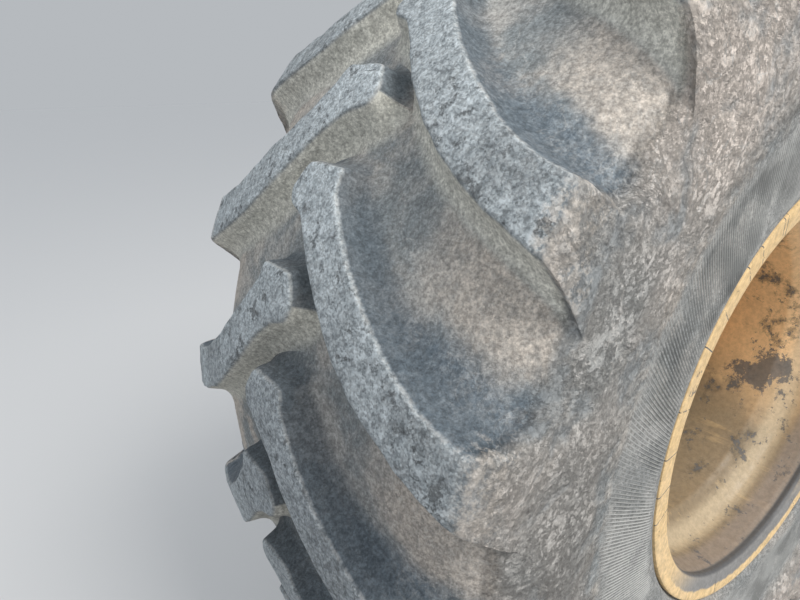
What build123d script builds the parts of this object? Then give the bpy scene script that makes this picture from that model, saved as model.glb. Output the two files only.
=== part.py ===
from build123d import *
from math import cos, radians, sin, tan
import os

os.makedirs("parts", exist_ok=True)

# Millimetres, +Z up. The origin is the centre of the axle flange's mounting face,
# which looks along +Y, away from the wheel. The wheel turns about the Y axis.

# Where the wheel sits on its axle end
wheel_offset = 430.0          # mounting face to the wheel's mid-plane
running_fit = 0.05            # radial play of the hub on its spindle
turning_gap = 6.0             # free gap between the turning hub and the fixed housing

# Rim, 32 inch bead seat and 27 inch width
rim_half_width = 363.3        # mid-plane to the outer face of a flange
flange_radius = 444.5
flange_wall = 12.0
flange_dish = 8.0             # how far the flange face falls back at its foot
flange_foot_inset = 6.0       # the flange's tyre side falls back this much at its foot
bead_seat_radius = 406.4
rim_wall = 12.4
well_radius = 362.4           # tyre side of the drop centre
well_start = 213.0            # mid-plane to the well's outer corner
well_end = 10.0               # mid-plane to the well's inner corner
well_slope = 45.0             # length of each slope between seat and well
well_chamfer = 9.0
lip_chamfer = 3.0

# Tyre
crown_radius = 956.75         # lug top on the mid-plane
crown_drop = 45.15            # lug top falls this much out to the tread edge
tread_half_width = 380.0
section_half_width = 389.0
section_middle = 740.0        # radius of the widest place
ribbed_radius = 590.0         # the sidewall's ribbed band, its outer edge
ribbed_half_width = 373.0
ribbed_foot = 474.0           # where the sidewall turns in towards the bead
shoulder_drop = 95.0          # lug top to the sidewall's upper end, at the tread edge
valley_half_width = 300.0     # flat part of the floor between the lugs
lug_depth = 51.0
lug_foot_drop = 130.0         # lug top to the lug's lower end on the sidewall
lug_bulge = 5.0               # how far a lug's end stands out of the section
lugs_per_side = 19
lug_draft = 15.0
lug_phase = -12.82            # turns the pattern to the angle at which the wheel stands
crown_wall = 34.0
side_wall = 20.0
bead_width = 62.0
bead_lift = 26.0              # height of the bead's toe over the seat

# Disc and hub
disc_wall = 22.0
disc_face = -50.0             # outer face, from the mid-plane
disc_weld = 9.0
hub_pilot_radius = 180.0
pilot_clearance = 0.5
stud_circle_radius = 212.5
stud_count = 12
stud_radius = 11.0
stud_clearance = 0.75
stud_nut_flats = 32.0
stud_nut_height = 22.0
stud_tip = 9.0
hub_flange_radius = 250.0
hub_flange_wall = 32.0
hub_nose = 44.0               # how far the planet drum stands out of the disc
hub_cover_wall = 17.0
hub_cover_radius = 172.0
cover_bolt_circle_radius = 156.0
cover_bolt_count = 12
cover_bolt_flats = 19.0
cover_bolt_head = 10.0
hub_drum_radius = 214.0
hub_tail_radius = 188.0
hub_drum_length = 72.0
hub_taper_length = 26.0
hub_tail_length = 26.0
hub_chamfer = 8.0
plug_radius = 15.0
plug_flats = 17.0
plug_circle_radius = 92.0

# Axle end
spindle_radius = 110.0
spindle_reach = 92.0          # how far the spindle runs into the hub
housing_shoulder_length = 40.0
skirt_wall = 14.0
housing_neck_radius = 138.0
housing_flange_radius = 232.0
housing_flange_wall = 30.0
housing_chamfer = 14.0
housing_rib_count = 8
housing_rib_wall = 18.0
housing_rib_rise = 16.0       # rib over the neck, at the neck's middle
housing_rib_reach = 184.0     # rib's radius at the flange
axle_bolt_circle_radius = 200.0
axle_bolt_count = 16
axle_bolt_hole_radius = 11.0
spigot_radius = 125.0
spigot_length = 12.0

# Valve, at the bottom of the rim
valve_face = -92.0            # where the stem leaves the well, from the mid-plane
valve_stem_radius = 8.0
valve_stem_length = 46.0
valve_nut_radius = 14.0
valve_nut_height = 8.0
valve_cap_radius = 10.5
valve_cap_length = 16.0
valve_lean = 40.0
guard_wall = 8.0
guard_width = 64.0
guard_height = 72.0
guard_length = 76.0
guard_start = -148.0          # outer end of the guard, from the mid-plane

mid_y = -wheel_offset
lug_pitch = 360.0 / lugs_per_side
barrel_radius = bead_seat_radius - rim_wall
well_bore_radius = well_radius - rim_wall
profile_plane = Plane(origin=(0, mid_y, 0))   # x is the radius, y the place along the axle


def side_plane(place):
    """A plane across the axle, its normal along +Y, at a place from the mid-plane."""
    return Plane(origin=(0, mid_y + place, 0), x_dir=(-1, 0, 0), z_dir=(0, 1, 0))


def crown(place):
    """Radius of the lug tops at a place along the axle."""
    return crown_radius - crown_drop * (place / tread_half_width) ** 2


# Tyre carcass: valley floor, shoulder, sidewall and bead, mirrored about the mid-plane
valley_radius = crown_radius - lug_depth
valley_bend = 0.55 * valley_half_width
valley_bend_radius = crown(valley_bend) - lug_depth
valley_edge_radius = crown(valley_half_width) - lug_depth - 6.0
shoulder_radius = crown(tread_half_width) - shoulder_drop
shoulder_half_width = section_half_width - 5.5
bead_place = rim_half_width - flange_wall
bead_toe = bead_place - bead_width
seat_end = bead_place - flange_foot_inset

with BuildPart() as carcass:
    with BuildSketch(profile_plane):
        with BuildLine():
            Polyline(
                (valley_radius, 0),
                (valley_bend_radius, valley_bend),
                (valley_edge_radius, valley_half_width),
                (valley_edge_radius - 19.0, 0.5 * (valley_half_width + shoulder_half_width) + 10.0),
                (shoulder_radius, shoulder_half_width),
                (section_middle, section_half_width),
                (ribbed_radius, ribbed_half_width),
                (ribbed_foot, ribbed_half_width - 3.0),
                (flange_radius + 12.0, ribbed_half_width - 9.0),
                (flange_radius + 3.5, bead_place + 4.0),
                (flange_radius, bead_place),
                (bead_seat_radius, seat_end),
                (bead_seat_radius, bead_toe),
                (bead_seat_radius + bead_lift, bead_toe),
                (ribbed_foot, ribbed_half_width - 2 * side_wall),
                (section_middle, section_half_width - side_wall),
                (valley_edge_radius - crown_wall, valley_half_width),
                (valley_radius - crown_wall, 0),
                close=True,
            )
        make_face()
        mirror(about=Plane.XZ)
    revolve(axis=Axis.Y)

# One lug of the outer side, standing at the top of the wheel.
# Outline stations on the lug's top face: place from the mid-plane and angle round the tyre.
lug_middle = 63.5
lug_end = section_half_width + lug_bulge + 10.0
lug_leading = [(62.0, 55.0), (134.0, 59.7), (256.0, 65.6), (lug_end, 68.9)]
lug_trailing = [(lug_end, 74.9), (290.0, 72.0), (202.0, 69.2), (109.0, 64.4)]
lug_nose = [(-5.0, 57.6), (-40.0, 57.1), (-49.0, 55.6), (-22.0, 53.1), (61.0, 53.1)]
lug_foot_radius = crown(tread_half_width) - lug_foot_drop


def lug_point(place, angle, inward):
    """A point of the lug's outline on the flat sketch plane, allowing for its draft."""
    radius = crown(min(place, tread_half_width))
    turn = radians(angle - lug_middle)
    sink = crown_radius - radius * cos(turn)
    along = radius * sin(turn) + inward * sink * tan(radians(lug_draft))
    return (-along, -place)


with BuildPart() as lug:
    with BuildSketch(Plane(origin=(0, mid_y, crown_radius))):
        with BuildLine():
            leading = [lug_point(u, a, 1.0) for u, a in lug_leading]
            trailing = [lug_point(u, a, -1.0) for u, a in lug_trailing]
            nose = [lug_point(u, a, 0.0) for u, a in lug_nose]
            Polyline(*leading, *trailing, *nose, close=True)
        make_face()
    extrude(amount=-(crown_radius - lug_foot_radius + 2 * crown_wall), taper=-lug_draft)
    with BuildSketch(profile_plane):
        with BuildLine():
            Polyline(
                (crown(tread_half_width), -tread_half_width),
                (crown(0.5 * tread_half_width), -0.5 * tread_half_width),
                (crown_radius, 0),
                (crown(2 * crown_wall), 2 * crown_wall),
                (valley_radius - 0.5 * crown_wall, 2 * crown_wall),
                (valley_radius - 0.5 * crown_wall, 0),
                (valley_edge_radius - 0.5 * crown_wall, -valley_half_width),
                (lug_foot_radius, 0.5 * side_wall - shoulder_half_width),
                (lug_foot_radius, -shoulder_half_width - lug_bulge),
                (lug_foot_radius + 0.3 * lug_foot_drop, -section_half_width - lug_bulge),
                (lug_foot_radius + 0.7 * lug_foot_drop, -section_half_width - lug_bulge),
                close=True,
            )
        make_face()
    revolve(axis=Axis.Y, mode=Mode.INTERSECT)

far_lug = mirror(lug.part, about=Plane.XZ.offset(wheel_offset), mode=Mode.PRIVATE)
first_turn = lug_middle + lug_phase
with BuildPart() as tyre:
    add(carcass.part)
    add([lug.part.rotate(Axis.Y, -(first_turn + i * lug_pitch)) for i in range(lugs_per_side)])
    add([far_lug.rotate(Axis.Y, -(first_turn + (i + 0.5) * lug_pitch)) for i in range(lugs_per_side)])
tyre.part.label = "tyre"
export_step(tyre.part, "parts/tyre.step")

# Rim barrel: flange, bead seat, drop centre, bead seat, flange
flange_foot = rim_half_width - flange_dish
with BuildPart() as rim:
    with BuildSketch(profile_plane) as rim_section:
        with BuildLine():
            Polyline(
                (flange_radius, -rim_half_width),
                (barrel_radius, -flange_foot),
                (barrel_radius, -well_start - well_slope),
                (well_bore_radius, -well_start),
                (well_bore_radius, well_end),
                (barrel_radius, well_end + well_slope),
                (barrel_radius, flange_foot),
                (flange_radius, rim_half_width),
                (flange_radius, bead_place),
                (bead_seat_radius, seat_end),
                (bead_seat_radius, well_end + well_slope - 4.0),
                (well_radius, well_end - 4.0),
                (well_radius, -well_start + 4.0),
                (bead_seat_radius, -well_start - well_slope + 4.0),
                (bead_seat_radius, -seat_end),
                (flange_radius, -bead_place),
                close=True,
            )
        make_face()
        edges = [v for v in rim_section.vertices() if abs(v.X - flange_radius) < 1]
        chamfer(edges, length=lip_chamfer)
        wells = [v for v in rim_section.vertices() if abs(v.X - well_bore_radius) < 1]
        chamfer(wells, length=well_chamfer)
    revolve(axis=Axis.Y)
rim.part.label = "rim_barrel"
export_step(rim.part, "parts/rim_barrel.step")

# Wheel disc, welded into the well on both faces
with BuildPart() as disc:
    with BuildSketch(profile_plane):
        with BuildLine():
            Polyline(
                (hub_pilot_radius + pilot_clearance, disc_face),
                (well_bore_radius - disc_weld, disc_face),
                (well_bore_radius, disc_face - disc_weld),
                (well_bore_radius, disc_face + disc_wall + disc_weld),
                (well_bore_radius - disc_weld, disc_face + disc_wall),
                (hub_pilot_radius + pilot_clearance, disc_face + disc_wall),
                close=True,
            )
        make_face()
    revolve(axis=Axis.Y)
    with BuildSketch(side_plane(disc_face)):
        with PolarLocations(stud_circle_radius, stud_count):
            Circle(stud_radius + stud_clearance)
    extrude(amount=disc_wall, mode=Mode.SUBTRACT)
disc.part.label = "wheel_disc"
export_step(disc.part, "parts/wheel_disc.step")

# Hub: planet drum through the disc, wheel flange, drum and tail, bored for the spindle
hub_back = disc_face + disc_wall
drum_start = hub_back + hub_flange_wall
drum_end = drum_start + hub_drum_length
tail_end = drum_end + hub_taper_length + hub_tail_length
nose_end = disc_face - hub_nose
with BuildPart() as hub:
    with BuildSketch(profile_plane):
        with BuildLine():
            Polyline(
                (0, nose_end),
                (hub_pilot_radius, nose_end),
                (hub_pilot_radius, hub_back),
                (hub_flange_radius, hub_back),
                (hub_flange_radius, drum_start - hub_chamfer),
                (hub_flange_radius - hub_chamfer, drum_start),
                (hub_drum_radius + hub_chamfer, drum_start),
                (hub_drum_radius, drum_start + hub_chamfer),
                (hub_drum_radius, drum_end),
                (hub_tail_radius, tail_end - hub_tail_length),
                (hub_tail_radius, tail_end),
                (spindle_radius + running_fit, tail_end),
                (spindle_radius + running_fit, tail_end - spindle_reach - turning_gap),
                (0, tail_end - spindle_reach - turning_gap),
                close=True,
            )
        make_face()
    revolve(axis=Axis.Y)
    with BuildSketch(side_plane(hub_back)):
        with PolarLocations(stud_circle_radius, stud_count):
            Circle(stud_radius + stud_clearance)
    extrude(amount=hub_flange_wall, mode=Mode.SUBTRACT)
hub.part.label = "hub_drum"
export_step(hub.part, "parts/hub_drum.step")

# Planetary cover on the drum's outer end
cover_face = nose_end - hub_cover_wall
with BuildPart() as cover:
    with BuildSketch(profile_plane):
        with BuildLine():
            Polyline(
                (0, nose_end),
                (hub_cover_radius, nose_end),
                (hub_cover_radius, cover_face + 4.0),
                (hub_cover_radius - 4.0, cover_face),
                (0, cover_face),
                close=True,
            )
        make_face()
    revolve(axis=Axis.Y)
cover.part.label = "hub_cover"
export_step(cover.part, "parts/hub_cover.step")

with BuildPart() as cover_bolts:
    with BuildSketch(side_plane(cover_face)):
        with PolarLocations(cover_bolt_circle_radius, cover_bolt_count):
            RegularPolygon(0.5 * cover_bolt_flats, 6, major_radius=False)
    extrude(amount=-cover_bolt_head)
cover_bolts.part.label = "cover_bolts"
export_step(cover_bolts.part, "parts/cover_bolts.step")

with BuildPart() as plugs:
    with BuildSketch(side_plane(cover_face)):
        with Locations((0, 0), (0, -plug_circle_radius)):
            Circle(plug_radius)
    extrude(amount=-6.0)
    with BuildSketch(side_plane(cover_face - 6.0)):
        with Locations((0, 0), (0, -plug_circle_radius)):
            RegularPolygon(0.5 * plug_flats, 6, major_radius=False)
    extrude(amount=-8.0)
plugs.part.label = "oil_plugs"
export_step(plugs.part, "parts/oil_plugs.step")

# Wheel studs with their nuts
with BuildPart() as studs:
    with BuildSketch(side_plane(disc_face)):
        with PolarLocations(stud_circle_radius, stud_count):
            RegularPolygon(0.5 * stud_nut_flats, 6, major_radius=False)
    extrude(amount=-stud_nut_height)
    with BuildSketch(side_plane(disc_face - stud_nut_height - stud_tip)):
        with PolarLocations(stud_circle_radius, stud_count):
            Circle(stud_radius)
    extrude(amount=stud_tip + stud_nut_height + disc_wall + hub_flange_wall)
studs.part.label = "wheel_studs"
export_step(studs.part, "parts/wheel_studs.step")

# Axle housing: spindle, shoulder with a skirt over the hub's tail, neck, ribs, bolted flange, spigot
housing_start = tail_end + turning_gap
neck_start = housing_start + housing_shoulder_length
flange_start = wheel_offset - housing_flange_wall
skirt_bore = hub_tail_radius + turning_gap
skirt_start = tail_end - hub_tail_length + turning_gap
with BuildPart() as housing:
    with BuildSketch(profile_plane):
        with BuildLine():
            Polyline(
                (0, tail_end - spindle_reach),
                (spindle_radius, tail_end - spindle_reach),
                (spindle_radius, housing_start),
                (skirt_bore, housing_start),
                (skirt_bore, skirt_start),
                (skirt_bore + skirt_wall, skirt_start),
                (skirt_bore + skirt_wall, neck_start - housing_chamfer),
                (skirt_bore + skirt_wall - housing_chamfer, neck_start),
                (housing_neck_radius + housing_chamfer, neck_start),
                (housing_neck_radius, neck_start + housing_chamfer),
                (housing_neck_radius, flange_start),
                (housing_flange_radius, flange_start),
                (housing_flange_radius, wheel_offset),
                (spigot_radius, wheel_offset),
                (spigot_radius, wheel_offset + spigot_length),
                (0, wheel_offset + spigot_length),
                close=True,
            )
        make_face()
    revolve(axis=Axis.Y)
    for i in range(housing_rib_count):
        turn = (i + 0.5) * 360.0 / housing_rib_count
        with BuildSketch(profile_plane.rotated((0, turn, 0))):
            with BuildLine():
                Polyline(
                    (housing_neck_radius - housing_rib_wall, neck_start - housing_chamfer),
                    (skirt_bore, neck_start - housing_chamfer),
                    (housing_neck_radius + housing_rib_rise, 0.5 * (neck_start + flange_start)),
                    (housing_rib_reach, flange_start),
                    (housing_neck_radius - housing_rib_wall, flange_start),
                    close=True,
                )
            make_face()
        extrude(amount=0.5 * housing_rib_wall, both=True)
    with BuildSketch(side_plane(flange_start)):
        with PolarLocations(axle_bolt_circle_radius, axle_bolt_count):
            Circle(axle_bolt_hole_radius)
    extrude(amount=housing_flange_wall, mode=Mode.SUBTRACT)
housing.part.label = "axle_housing"
export_step(housing.part, "parts/axle_housing.step")

# Tyre valve in the well wall at the bottom, leaning outwards, with its cap and guard
valve_plane = Plane(Location((0, mid_y + valve_face, -well_bore_radius), (valve_lean, 0, 0)))
well_bore = Cylinder(well_bore_radius, 4 * guard_length, rotation=(90, 0, 0), mode=Mode.PRIVATE)
well_bore = Pos(0, mid_y + valve_face, 0) * well_bore
with BuildPart() as valve:
    with BuildSketch(valve_plane.offset(-valve_nut_radius)):
        Circle(valve_stem_radius)
    extrude(amount=valve_nut_radius + valve_stem_length)
    with BuildSketch(valve_plane.offset(-valve_nut_radius)):
        Circle(valve_nut_radius)
    extrude(amount=valve_nut_radius + valve_nut_height)
    add(well_bore, mode=Mode.INTERSECT)
valve.part.label = "valve_stem"
export_step(valve.part, "parts/valve_stem.step")

with BuildPart() as valve_cap:
    with BuildSketch(valve_plane.offset(valve_stem_length)):
        Circle(valve_cap_radius)
    extrude(amount=valve_cap_length)
valve_cap.part.label = "valve_cap"
export_step(valve_cap.part, "parts/valve_cap.step")

with BuildPart() as guard:
    with BuildSketch(side_plane(guard_start)):
        with Locations((0, -well_bore_radius)):
            RectangleRounded(guard_width, 2 * guard_height, 14.0)
            RectangleRounded(
                guard_width - 2 * guard_wall,
                2 * (guard_height - guard_wall),
                14.0 - guard_wall,
                mode=Mode.SUBTRACT,
            )
    extrude(amount=guard_length)
    add(well_bore, mode=Mode.INTERSECT)
guard.part.label = "valve_guard"
export_step(guard.part, "parts/valve_guard.step")
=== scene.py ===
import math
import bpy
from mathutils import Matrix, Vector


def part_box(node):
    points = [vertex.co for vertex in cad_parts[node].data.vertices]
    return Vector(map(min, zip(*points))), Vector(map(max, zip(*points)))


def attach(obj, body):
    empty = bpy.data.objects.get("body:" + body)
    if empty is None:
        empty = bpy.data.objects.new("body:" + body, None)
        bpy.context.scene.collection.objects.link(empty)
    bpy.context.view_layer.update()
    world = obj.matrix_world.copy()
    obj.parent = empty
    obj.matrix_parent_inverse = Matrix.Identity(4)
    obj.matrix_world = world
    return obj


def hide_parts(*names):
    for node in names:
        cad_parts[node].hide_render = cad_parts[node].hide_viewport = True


bl_info = {
    "name": "Forestry wheel",
    "version": (1, 0, 0),
    "blender": (4, 5, 0),
    "location": "3D View > Sidebar > Forestry wheel",
    "description": "Builds the looks of a lugged forestry wheel around its packed frame",
    "category": "Object",
}

from contextlib import contextmanager

import bpy
import numpy as np
from mathutils import Vector

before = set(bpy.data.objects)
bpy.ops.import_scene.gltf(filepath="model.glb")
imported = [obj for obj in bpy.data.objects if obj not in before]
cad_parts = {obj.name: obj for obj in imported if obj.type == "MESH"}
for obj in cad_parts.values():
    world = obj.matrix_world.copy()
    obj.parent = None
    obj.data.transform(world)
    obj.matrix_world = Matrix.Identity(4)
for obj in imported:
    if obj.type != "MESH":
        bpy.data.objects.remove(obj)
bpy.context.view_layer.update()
TYRE_LOW, TYRE_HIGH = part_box("tyre")
MID = 0.5 * (TYRE_LOW[1] + TYRE_HIGH[1])


def length(name, description, default):
    return bpy.props.FloatProperty(
        name=name, description=description, default=default, subtype="DISTANCE", unit="LENGTH")


def colour(name, description, default):
    return bpy.props.FloatVectorProperty(
        name=name, description=description, size=3, subtype="COLOR", default=default)


# Sizes and colours
class WheelTyre(bpy.types.PropertyGroup):
    """Tread, sidewall and wear of the tyre."""

    lugs: bpy.props.IntProperty(name="Lugs", description="Lugs on each side", default=19)
    turn: bpy.props.FloatProperty(
        name="Turn", description="How far the pattern is turned about the axle", default=math.radians(-12.82),
        subtype="ANGLE", unit="ROTATION")
    crown_radius: length("Crown radius", "Radius of the lug tops on the mid-plane", 0.9555)
    crown_fall: bpy.props.FloatProperty(
        name="Crown fall", description="How fast the lug tops fall towards the shoulder, per metre",
        default=0.31257)
    lug_depth: length("Lug depth", "Lug top to valley floor", 0.051)
    ribs: bpy.props.IntProperty(name="Ribs", description="Fine ribs round each sidewall", default=532)
    rib_height: length("Rib height", "Height of a sidewall rib", 0.0018)
    top_colour: colour("Lug tops", "Worn, dusty rubber of the lug tops", (0.32, 0.355, 0.372))
    deep_colour: colour("Valleys", "Rubber between the lugs", (0.215, 0.235, 0.24))
    # Painted shade with wet rubber: the blue-grey band in front of each lug
    damp_and_shade_colour: colour("Damp rubber", "Damp, blue-grey rubber in front of each lug", (0.125, 0.162, 0.195))
    # Painted light: a pale colour that brightens the rear flanks of the lugs, which the lamp leaves in shade
    flank_lit_colour: colour("Lug flanks", "Smooth rubber of the lug flanks", (0.52, 0.51, 0.455))
    wall_colour: colour("Sidewall", "Scuffed rubber of the shoulder and sidewall", (0.35, 0.352, 0.34))
    dust_colour: colour("Dust", "Dry mud and dust", (0.46, 0.412, 0.36))
    scuff_colour: colour("Scuffs", "Pale scuffs of the shoulder", (0.52, 0.50, 0.47))


class WheelRim(bpy.types.PropertyGroup):
    """Paint and dirt of the rim."""

    paint_colour: colour("Paint", "Pale yellow paint", (0.76, 0.54, 0.275))
    # Painted light: the bright ochre of the barrel's upper inside, which the lamp leaves in shade
    ochre_lit_colour: colour("Stained paint", "Paint under old dirt", (0.86, 0.57, 0.30))
    # The darker colour towards the bottom of the barrel's inside
    khaki_colour: colour("Dusty paint", "Paint under dry dust", (0.26, 0.20, 0.125))
    # The grey on the lower part of the lips
    dust_colour: colour("Grey dust", "Dust lying on the flanges", (0.20, 0.205, 0.21))
    # Greasy dirt, chips and nicks, and the painted shade in the gutter behind the outer lip
    grime_and_shade_colour: colour("Grime", "Dark greasy dirt", (0.10, 0.103, 0.107))


class WheelHub(bpy.types.PropertyGroup):
    """Paint and dirt of the hub and the axle end."""

    hub_colour: colour("Hub paint", "Ochre paint of the hub", (0.72, 0.50, 0.24))
    axle_colour: colour("Axle paint", "Dark grey paint of the axle end", (0.23, 0.24, 0.245))
    grease_colour: colour("Grease", "Grease with dust in it", (0.16, 0.135, 0.11))


class WheelStage(bpy.types.PropertyGroup):
    """Camera, floor and light."""

    lens: bpy.props.FloatProperty(
        name="Lens", description="Focal length on a 36 mm wide sensor", default=26.93, unit="CAMERA")
    camera_place: bpy.props.FloatVectorProperty(
        name="Camera", description="Where the camera stands", size=3, subtype="TRANSLATION",
        unit="LENGTH", default=(-1.2284, -1.171, 0.6052))
    camera_look: bpy.props.FloatVectorProperty(
        name="Looks along", description="Direction of view", size=3, subtype="DIRECTION",
        default=(0.55384, 0.75167, -0.35812))
    floor_colour: colour("Floor", "Colour of the floor", (0.64, 0.64, 0.635))
    sky_colour: colour("Sky", "Soft light from all round", (0.73, 0.765, 0.81))


# Modelling
def deselect_all():
    if bpy.context.object and bpy.context.object.mode != "OBJECT":
        bpy.ops.object.mode_set(mode="OBJECT")
    bpy.ops.object.select_all(action="DESELECT")


def pick(piece):
    deselect_all()
    piece.select_set(True)
    bpy.context.view_layer.objects.active = piece


@contextmanager
def editing():
    """Edit mode with the whole mesh selected, and object mode again after it."""
    bpy.ops.object.mode_set(mode="EDIT")
    bpy.ops.mesh.select_all(action="SELECT")
    yield
    bpy.ops.object.mode_set(mode="OBJECT")


def apply_modifier(piece, kind, **settings):
    """Adds a modifier with these settings to a piece and applies it."""
    pick(piece)
    modifier = piece.modifiers.new(kind.lower(), kind)
    for key, value in settings.items():
        setattr(modifier, key, value)
    bpy.ops.object.modifier_apply(modifier=modifier.name)


def weigh(piece, name, weights):
    """Gives a piece a vertex group with one weight for each vertex."""
    group = piece.vertex_groups.new(name=name)
    for index, weight in enumerate(weights):
        if weight > 0.001:
            group.add([index], float(weight), "REPLACE")
    return group.name


def displace(piece, group, size, depth, level=0.5):
    """Moves the surface of a piece by a noise of this size, within a vertex group."""
    texture = bpy.data.textures.new(f"{piece.name}_{group}_{size}", "CLOUDS")
    texture.noise_scale = size
    texture.noise_depth = 3
    apply_modifier(piece, "DISPLACE", texture=texture, texture_coords="LOCAL", strength=depth,
                   mid_level=level, vertex_group=group)


def wear(piece):
    """Makes the skin of the carcass or the lugs uneven, and tears the shoulder."""
    displace(piece, "skin", 0.13, 0.006)
    displace(piece, "skin", 0.035, 0.0022)
    if "edge" in piece.vertex_groups:
        displace(piece, "edge", 0.045, 0.007, 0.75)
    displace(piece, "scuffed", 0.03, 0.006, 0.6)


def spin_profile(name, outline, steps, mid=MID, centre=(0.0, 0.0)):
    """Spins a closed outline of (radius, place) points about the wheel's axis, or one beside it."""
    deselect_all()
    bpy.ops.mesh.primitive_circle_add(vertices=len(outline), radius=1.0)
    piece = bpy.context.object
    piece.name = name
    for vertex, (radius, place) in zip(piece.data.vertices, outline):
        vertex.co = (centre[0], mid + place, centre[1] + radius)
    with editing():
        bpy.ops.mesh.spin(steps=steps, angle=math.tau, center=(centre[0], 0, centre[1]), axis=(0, 1, 0))
        bpy.ops.mesh.select_all(action="SELECT")
        bpy.ops.mesh.remove_doubles(threshold=1e-6)
        bpy.ops.mesh.delete_loose()
        bpy.ops.mesh.select_all(action="SELECT")
        bpy.ops.mesh.normals_make_consistent(inside=False)
    return piece


def round_edges(piece, width, segments=2, angle=30.0):
    """Rounds the edges of a piece that are sharper than an angle."""
    apply_modifier(piece, "BEVEL", width=width, segments=segments, limit_method="ANGLE",
                   angle_limit=math.radians(angle))


def rod(name, radius, start, end, spot=(0.0, 0.0), sides=32, chamfer=0.0, mid=MID):
    """A round or many-sided bar along the axle's direction, from one place to another."""
    deselect_all()
    bpy.ops.mesh.primitive_cylinder_add(
        vertices=sides, radius=radius, depth=abs(end - start), rotation=(math.pi / 2, 0, 0),
        location=(spot[0], mid + 0.5 * (start + end), spot[1]))
    piece = bpy.context.object
    piece.name = name
    bpy.ops.object.transform_apply(location=True, rotation=True, scale=True)
    if chamfer:
        round_edges(piece, chamfer, 1)
    return piece


def cut(piece, other, operation="DIFFERENCE"):
    """Cuts a piece with another one, or keeps what they share, and removes the other."""
    apply_modifier(piece, "BOOLEAN", operation=operation, object=other, solver="EXACT")
    bpy.data.objects.remove(other)


def hex_head(name, flats, start, end, spot=(0.0, 0.0), mid=MID):
    """A hexagon head or nut whose corners are turned down at both ends."""
    corner = flats / math.sqrt(3)
    head = rod(name, corner, start, end, spot, 6, mid=mid)
    cut(head, rod("turned", 1.002 * corner, start, end, spot, 48, 0.14 * corner, mid), "INTERSECT")
    return head


def threaded(name, radius, start, end, pitch, spot=(0.0, 0.0), mid=MID):
    """The threaded end of a stud or stem, with a chamfered tip at its start."""
    outline = [(0.0, start), (radius - pitch, start), (radius, start + pitch)]
    for i in range(1, int((end - start) / pitch) - 1):
        outline += [(radius - 0.45 * pitch, start + (i + 0.5) * pitch), (radius, start + (i + 1) * pitch)]
    return spin_profile(name, [*outline, (radius, end), (0.0, end)], 24, mid, spot)


def join(name, pieces):
    """Joins pieces into one."""
    deselect_all()
    for piece in pieces:
        piece.select_set(True)
    bpy.context.view_layer.objects.active = pieces[0]
    bpy.ops.object.join()
    pieces[0].name = name
    return pieces[0]


def copies(piece, count):
    """Repeats a piece evenly round the axle."""
    pick(piece)
    with editing():
        bpy.ops.mesh.spin(steps=count - 1, angle=math.tau * (count - 1) / count, dupli=True,
                          center=(0, 0, 0), axis=(0, 1, 0))
    return piece


def slab(name, outline, thickness):
    """A flat outline of points made into a plate of this thickness vector."""
    deselect_all()
    bpy.ops.mesh.primitive_circle_add(vertices=len(outline), radius=1.0, fill_type="NGON")
    piece = bpy.context.object
    piece.name = name
    for vertex, point in zip(piece.data.vertices, outline):
        vertex.co = point
    with editing():
        bpy.ops.mesh.extrude_region_move(TRANSFORM_OT_translate={"value": thickness})
        bpy.ops.mesh.select_all(action="SELECT")
        bpy.ops.mesh.normals_make_consistent(inside=False)
    return piece


def settle(piece, body, slot, materials, replaced=(), smooth=35.0):
    """Shades a finished piece, gives it its finish and its body, and hides the nodes that it stands for."""
    pick(piece)
    bpy.ops.object.shade_smooth_by_angle(angle=math.radians(smooth))
    for material in materials:
        piece.data.materials.append(material)
    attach(piece, body)
    if replaced:
        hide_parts(*replaced)
    return piece


def smooth_line(points, spacing):
    """Points of a smooth line through the given ones, about one spacing apart."""
    points = np.array(points, float)
    ends = np.vstack([2 * points[0] - points[1], points, 2 * points[-1] - points[-2]])
    line = [points[0]]
    for before, start, end, after in zip(ends, ends[1:], ends[2:], ends[3:]):
        count = max(1, round(np.linalg.norm(end - start) / spacing))
        for t in np.arange(1, count + 1) / count:
            line.append(0.5 * (2 * start + (end - before) * t
                               + (2 * before - 5 * start + 4 * end - after) * t**2
                               + (3 * start - before - 3 * end + after) * t**3))
    return np.array(line)


# Shape of the tyre
# Sections of the tyre's outer half, as (radius, place from the mid-plane) in millimetres
CARCASS_SHOULDER = [(886.2, 250), (872.5, 300), (861, 330), (846, 356), (830, 373), (812, 383), (785, 387.2),
                    (740, 388.6), (700, 386.6), (660, 382), (625, 377), (590, 373), (550, 371.4), (500, 370.6),
                    (480, 370.6), (470, 370), (461.5, 368.2), (454.6, 365), (450, 360.4), (447.4, 354)]
BEAD_AND_LINER = [(444, 350.6), (407, 344.8), (407, 292), (432, 291), (478, 330), (740, 368), (838, 300),
                  (868, 150)]
# Where a lug's foot and top stand at each station: station, foot radius and place, top radius and place
LUG_SECTION = np.array([
    (300, 872.5, 300, 928.6, 300), (330, 863, 325, 922.7, 330), (355, 853, 345, 917.2, 355),
    (372, 845, 357, 912.5, 371), (384, 838.5, 364.5, 905.5, 381), (396, 833, 370, 896, 386),
    (412, 825.5, 376.5, 880.5, 389.4), (430, 817, 380.8, 862.5, 391.2), (450, 808, 384, 843, 391.8),
    (470, 798, 386, 824.5, 391.2), (490, 787, 387.2, 805.5, 389.8), (508, 775, 387.8, 785, 388.5),
    (530, 755, 388.4, 760, 388.8), (580, 710, 387, 712, 387.5), (620, 671, 384, 672, 384)])
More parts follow.
